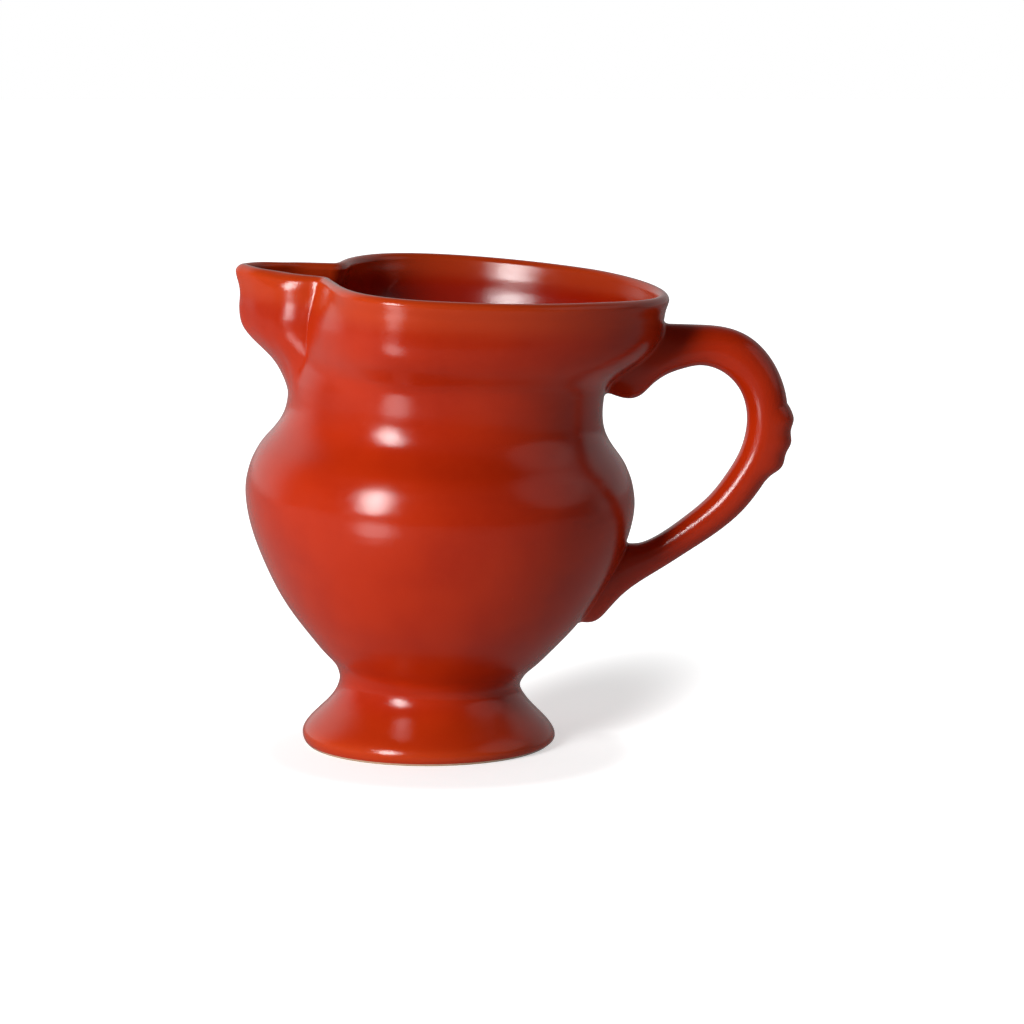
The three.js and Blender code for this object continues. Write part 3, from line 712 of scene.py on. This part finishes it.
# The foot
# A thrown pedestal with a sloping flank and a hollow underside. The ring that it stands on is
# wiped free of glaze before the firing, so bare clay shows as a thin pale line at the table.
RING_INNER = 24.0
RECESS_HEIGHT, RECESS_SLOPE = 7.5, 5.0
EDGE_TOP, EDGE_ROWS, FLANK_ROWS = 5.0, 18, 26
UNDER_EYE = 0.08
UNDER_SPANS = ((2, RING_INNER - 3, 10), (RING_INNER - 2, RING_INNER, 6),
               (RING_INNER + 0.6, PROFILE[0][1] - 0.3, 5))
PAST_SEAM = 0.9
EDGE_THIN, EDGE_THIN_Z, EDGE_THIN_HALF = 0.55, 2.4, 1.6
FLANK_THIN, FLANK_THIN_LOW, FLANK_THIN_HIGH = 0.3, 8, 13
flank_z = np.concatenate([np.linspace(0, EDGE_TOP, EDGE_ROWS)[:-1],
                          np.linspace(EDGE_TOP, WAIST - WAIST_SEAM_HALF, FLANK_ROWS)])
under_reach = np.concatenate([[UNDER_EYE]] + [np.linspace(*span) for span in UNDER_SPANS])
under_z = RECESS_HEIGHT * ease(RING_INNER, RING_INNER - RECESS_SLOPE, under_reach)
under = stand(-under_reach[:, None] * np.cos(RAYS), under_reach[:, None] * np.sin(RAYS),
              under_z[:, None])
waist_z = np.linspace(WAIST - WAIST_SEAM_HALF, WAIST + WAIST_SEAM_HALF, SEAM_ROWS)
outer_z = np.concatenate([flank_z, waist_z[1:], [WAIST + PAST_SEAM]])
flank = turned_rows(outer_z, np.zeros(len(outer_z)), outer_z)
foot_grid = np.concatenate([under, flank])
foot_normals = grid_normals(foot_grid)
foot_rows = len(under) + len(flank_z)


def turned_piece(name, grid, normals, thin_and_shade):
    """A turned piece closed by a flat cap on its first and its last row."""
    rows, columns = grid.shape[:2]
    quads = grid_quads(rows, columns).reshape(-1, 4)
    first = np.arange(columns)
    last = first[::-1] + (rows - 1) * columns
    return make_piece(name, grid.reshape(-1, 3), quads, normals.reshape(-1, 3)[quads],
                      [first, last], thin_and_shade.reshape(-1))


foot_thin = np.zeros(foot_grid.shape[:2])
edge_thin = EDGE_THIN * np.exp(-(((outer_z - EDGE_THIN_Z) / EDGE_THIN_HALF) ** 2))
flank_thin = FLANK_THIN * ease(FLANK_THIN_HIGH, FLANK_THIN_LOW, outer_z)
foot_thin[len(under):] = (edge_thin + flank_thin)[:, None]
foot = turned_piece("pedestal", foot_grid[:foot_rows], foot_normals[:foot_rows], foot_thin[:foot_rows])
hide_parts("pedestal_foot")

BARE_CLAY = (0.72, 0.50, 0.34, 1)
BARE_LOW, BARE_HIGH = 0.4 * MM, 0.75 * MM
foot_glaze, tree, shader = glazed("foot_glaze", THROWN_RINGS)
place = add_node(tree, "ShaderNodeTexCoord", (-700, 500))
heights = add_node(tree, "ShaderNodeSeparateXYZ", (-500, 500))
bare = smooth_range(tree, heights.outputs["Z"], (BARE_HIGH, BARE_LOW), (0, 1), (-300, 500))
wiped = add_node(tree, "ShaderNodeMix", (0, 300), data_type="RGBA")
wiped.inputs[MIX_SECOND].default_value = BARE_CLAY
tree.links.new(place.outputs["Object"], heights.inputs[0])
tree.links.new(bare, wiped.inputs["Factor"])
tree.links.new(shader.inputs["Base Color"].links[0].from_socket, wiped.inputs[MIX_FIRST])
tree.links.new(wiped.outputs[MIX_RESULT], shader.inputs["Base Color"])
foot.data.materials.append(foot_glaze)

# The foot's joint
# A thin ring of slip between the bowl and the foot, brushed on before they are pressed together
# and fired hard with them. The glaze covers it at the waist.
joint_rows = slice(foot_rows - 1, foot_rows + len(waist_z) - 1)
foot_joint = turned_piece("foot_slip", foot_grid[joint_rows], foot_normals[joint_rows],
                          foot_thin[joint_rows])
foot_joint.data.materials.append(thrown_glaze)
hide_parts("foot_slip_joint")

# The handle
# A strap of clay pulled to a nearly round section, thinner towards the bottom, and pressed on at
# the collar and the belly, where its ends spread. Each station is its outer and its inner edge,
# and all stations move by HANDLE_SHIFT.
HANDLE_STATIONS = [((46.0, 105.2), (36.0, 88.8)), ((50.0, 105.3), (41.0, 87.2)),
                   ((53.0, 105.4), (44.6, 86.7)), ((55.6, 105.5), (47.3, 87.8)),
                   ((58.2, 105.6), (49.6, 90.3)), ((61.0, 105.7), (53.2, 93.2)),
                   ((64.0, 105.7), (57.0, 94.9)), ((67.6, 105.3), (60.6, 95.9)),
                   ((72.7, 103.4), (65.2, 95.3)), ((77.1, 99.7), (68.7, 93.2)),
                   ((80.7, 94.1), (71.6, 89.5)), ((82.6, 88.0), (73.0, 84.9)),
                   ((82.9, 81.5), (73.0, 80.5)), ((81.6, 74.8), (71.7, 75.2)),
                   ((78.6, 68.8), (69.0, 69.9)), ((74.1, 61.9), (65.4, 64.6)),
                   ((66.9, 54.9), (59.6, 58.9)), ((60.4, 50.0), (54.0, 54.4)),
                   ((53.8, 45.2), (49.1, 51.8)), ((46.5, 39.6), (45.5, 51.4)),
                   ((42.3, 34.7), (42.5, 50.0)), ((38.5, 31.6), (39.0, 47.0)),
                   ((33.0, 32.0), (36.0, 45.0))]
HANDLE_HALF_WIDTHS = [(0, 5.8), (0.08, 5.5), (0.2, 5.1), (0.45, 5.0), (0.62, 4.7), (0.8, 4.3),
                      (0.9, 4.6), (1, 5.4)]
HANDLE_SET, HANDLE_SET_REACH = 2.0, 0.30
HANDLE_SHIFT = np.array([-0.22, 0])
HANDLE_SIDES = 72
HANDLE_STEPS = 240
CLEAR_ABOVE, CLEAR_BELOW = 3, 17
HALVINGS = 30
BURIED = 0.6

outer_edge = np.array([pair[0] for pair in HANDLE_STATIONS]) + HANDLE_SHIFT
inner_edge = np.array([pair[1] for pair in HANDLE_STATIONS]) + HANDLE_SHIFT
mid_edge = (outer_edge + inner_edge) / 2
HANDLE_PLACES = np.concatenate([[0], np.cumsum(np.linalg.norm(np.diff(mid_edge, axis=0), axis=1))])
HANDLE_LENGTH = HANDLE_PLACES[-1]
SIDES = np.arange(HANDLE_SIDES) / HANDLE_SIDES * 2 * math.pi


def handle_spot(along, side):
    """A point of the handle in straight millimetres, along its length and round its section.

    The section is an ellipse: half the way from the inner to the outer edge times the cosine,
    and the half width across times the sine. Its upper end is set aside to the far side.
    """
    edges = [smooth_line(np.stack([HANDLE_PLACES, edge[:, k]], 1), along)
             for edge in (outer_edge, inner_edge) for k in (0, 1)]
    out_x, out_z, in_x, in_z = edges
    share = (1 + np.cos(side)) / 2
    x = in_x + (out_x - in_x) * share
    z = in_z + (out_z - in_z) * share
    half_width = smooth_line(HANDLE_HALF_WIDTHS, along / HANDLE_LENGTH)
    aside = HANDLE_SET * ease(HANDLE_SET_REACH, 0, along / HANDLE_LENGTH)
    return np.stack([x, aside + half_width * np.sin(side), z], axis=-1)


def off_wall(spots):
    """How far points in straight millimetres stand out from the bowl's outside, level with them."""
    turn = np.degrees(np.arctan2(spots[..., 1], -spots[..., 0]))
    return np.hypot(spots[..., 0], spots[..., 1]) - wall_reach(turn, spots[..., 2])


def root_line(start, end):
    """For each side of the section, the place along where the handle leaves the wall, by halving."""
    low = np.full(HANDLE_SIDES, float(start))
    high = np.full(HANDLE_SIDES, float(end))
    for _ in range(HALVINGS):
        middle = (low + high) / 2
        buried = off_wall(handle_spot(middle, SIDES)) < 0
        low = np.where(buried, middle, low)
        high = np.where(buried, high, middle)
    return (low + high) / 2


upper_root = root_line(0, HANDLE_PLACES[CLEAR_ABOVE])
lower_root = root_line(HANDLE_LENGTH, HANDLE_PLACES[CLEAR_BELOW])
share = np.linspace(0, 1, HANDLE_STEPS)[:, None]
handle_along = (upper_root - BURIED) + (lower_root + BURIED - upper_root + BURIED) * share
handle_local = handle_spot(handle_along, np.broadcast_to(SIDES, handle_along.shape))
handle_grid = stand(handle_local[..., 0], handle_local[..., 1], handle_local[..., 2])
handle_normals = grid_normals(handle_grid)
handle = turned_piece("pulled_handle", handle_grid, handle_normals, np.zeros(handle_grid.shape[:2]))
pulled_glaze = glazed("pulled_glaze", rings=0)[0]
handle.data.materials.append(pulled_glaze)
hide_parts("handle")

# The handle's joints
# The slip that holds each end of the handle to the wall, smoothed with a finger into a small
# hollow all round and covered by the glaze.
UPPER_SLIP, LOWER_SLIP = 1.7, 1.5
SLIP_SINK, SLIP_ROWS = 0.25, 11
PACE_STEP = 0.5


def slip_fillet(name, root, way, reach):
    """A ring of slip with a hollow face from the wall to the handle, reaching as far on both.

    Its face is a curve with the root line as its pulling point: (1-s) squared times the wall
    point, 2 s (1-s) times the root point and s squared times the handle point. Its back lies
    just under the surfaces. Way is 1 where the handle starts and -1 where it ends.
    """
    corner = handle_spot(root, SIDES)
    ahead = handle_spot(root + way * PACE_STEP, SIDES)
    pace = np.linalg.norm(ahead - corner, axis=-1) / PACE_STEP
    top = handle_spot(root + way * reach / pace, SIDES)
    run = np.roll(corner, -1, 0) - np.roll(corner, 1, 0)
    turn = np.arctan2(corner[:, 1], -corner[:, 0])
    face_out = np.stack([-np.cos(turn), np.sin(turn), np.zeros(HANDLE_SIDES)], -1)
    away = np.cross(run, face_out)
    away /= np.linalg.norm(away, axis=-1, keepdims=True)
    away *= np.sign(np.sum(away * (corner - corner.mean(0)), -1, keepdims=True))
    low = corner + reach * away
    low_turn = np.arctan2(low[:, 1], -low[:, 0])
    low_reach = wall_reach(np.degrees(low_turn), low[:, 2])
    low = np.stack([-low_reach * np.cos(low_turn), low_reach * np.sin(low_turn), low[:, 2]], -1)
    s = np.linspace(0, 1, SLIP_ROWS)[:, None, None]
    face = (1 - s) ** 2 * low + 2 * s * (1 - s) * corner + s**2 * top
    back = corner - SLIP_SINK * face_out
    rings = np.concatenate([face, back[None]])
    grid = stand(rings[..., 0], rings[..., 1], rings[..., 2])
    quads = grid_quads(len(grid), HANDLE_SIDES, True).reshape(-1, 4)
    normals = np.concatenate([grid_normals(grid[:-1]), grid_normals(grid)[-1:]])
    if way < 0:
        quads = quads[:, ::-1]
        normals = -normals
    piece = make_piece(name, grid.reshape(-1, 3), quads, normals.reshape(-1, 3)[quads], (),
                       np.zeros(len(grid) * HANDLE_SIDES))
    piece.data.materials.append(pulled_glaze)
    return piece


upper_slip = slip_fillet("upper_handle_slip", upper_root, 1, UPPER_SLIP)
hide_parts("upper_handle_slip_joint")
lower_slip = slip_fillet("lower_handle_slip", lower_root, -1, LOWER_SLIP)
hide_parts("lower_handle_slip_joint")

# The crest
# A strip of clay with three low lobes, pressed on the outside of the handle where the hand closes
# round it. Its back lies a little under the handle's surface.
CREST_HEIGHTS = [(0, 0), (0.85, 0.55), (2.0, 1.15), (3.3, 1.5), (4.8, 1.15), (6.2, 1.15),
                 (7.6, 1.6), (10.2, 1.2), (11.3, 1.3), (12.8, 1.6), (14.1, 1.4), (16.1, 0.45),
                 (17.6, 0.1), (18.2, 0)]
CREST_STATION = 11
CREST_START = HANDLE_PLACES[CREST_STATION]
CREST_SIDE = math.radians(84)
CREST_SINK = 0.3
CREST_ROWS, CREST_COLUMNS = 64, 28
crest_length = CREST_HEIGHTS[-1][0]
crest_along = np.linspace(0, crest_length, CREST_ROWS)[:, None]
crest_side = np.linspace(-CREST_SIDE, CREST_SIDE, CREST_COLUMNS)[None, :]
crest_local = handle_spot(*np.broadcast_arrays(CREST_START + crest_along, crest_side))
crest_base = stand(crest_local[..., 0], crest_local[..., 1], crest_local[..., 2])


def sheet_normals(points):
    """Unit normals of an open grid: row step crossed with column step."""
    normals = np.cross(np.gradient(points, axis=0), np.gradient(points, axis=1))
    return normals / np.linalg.norm(normals, axis=-1, keepdims=True)


crest_up = sheet_normals(crest_base)
crest_round = np.cos(crest_side / CREST_SIDE * math.pi / 2) ** 2
crest_rise = np.maximum(smooth_line(CREST_HEIGHTS, crest_along) * crest_round, 0)
crest_face = crest_base + crest_up * crest_rise[..., None] * MM
crest_back = crest_base - crest_up * CREST_SINK * MM
crest_loop = np.concatenate([crest_face, crest_back[:, ::-1]], axis=1)
crest_normals = np.concatenate([sheet_normals(crest_face), -crest_up[:, ::-1]], axis=1)
crest_quads = grid_quads(CREST_ROWS, 2 * CREST_COLUMNS).reshape(-1, 4)
ring = np.arange(2 * CREST_COLUMNS)
crest = make_piece("handle_lobes", crest_loop.reshape(-1, 3), crest_quads,
                   crest_normals.reshape(-1, 3)[crest_quads],
                   [ring, ring[::-1] + (CREST_ROWS - 1) * 2 * CREST_COLUMNS],
                   np.zeros(CREST_ROWS * 2 * CREST_COLUMNS))
crest.data.materials.append(pulled_glaze)
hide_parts("handle_crest")
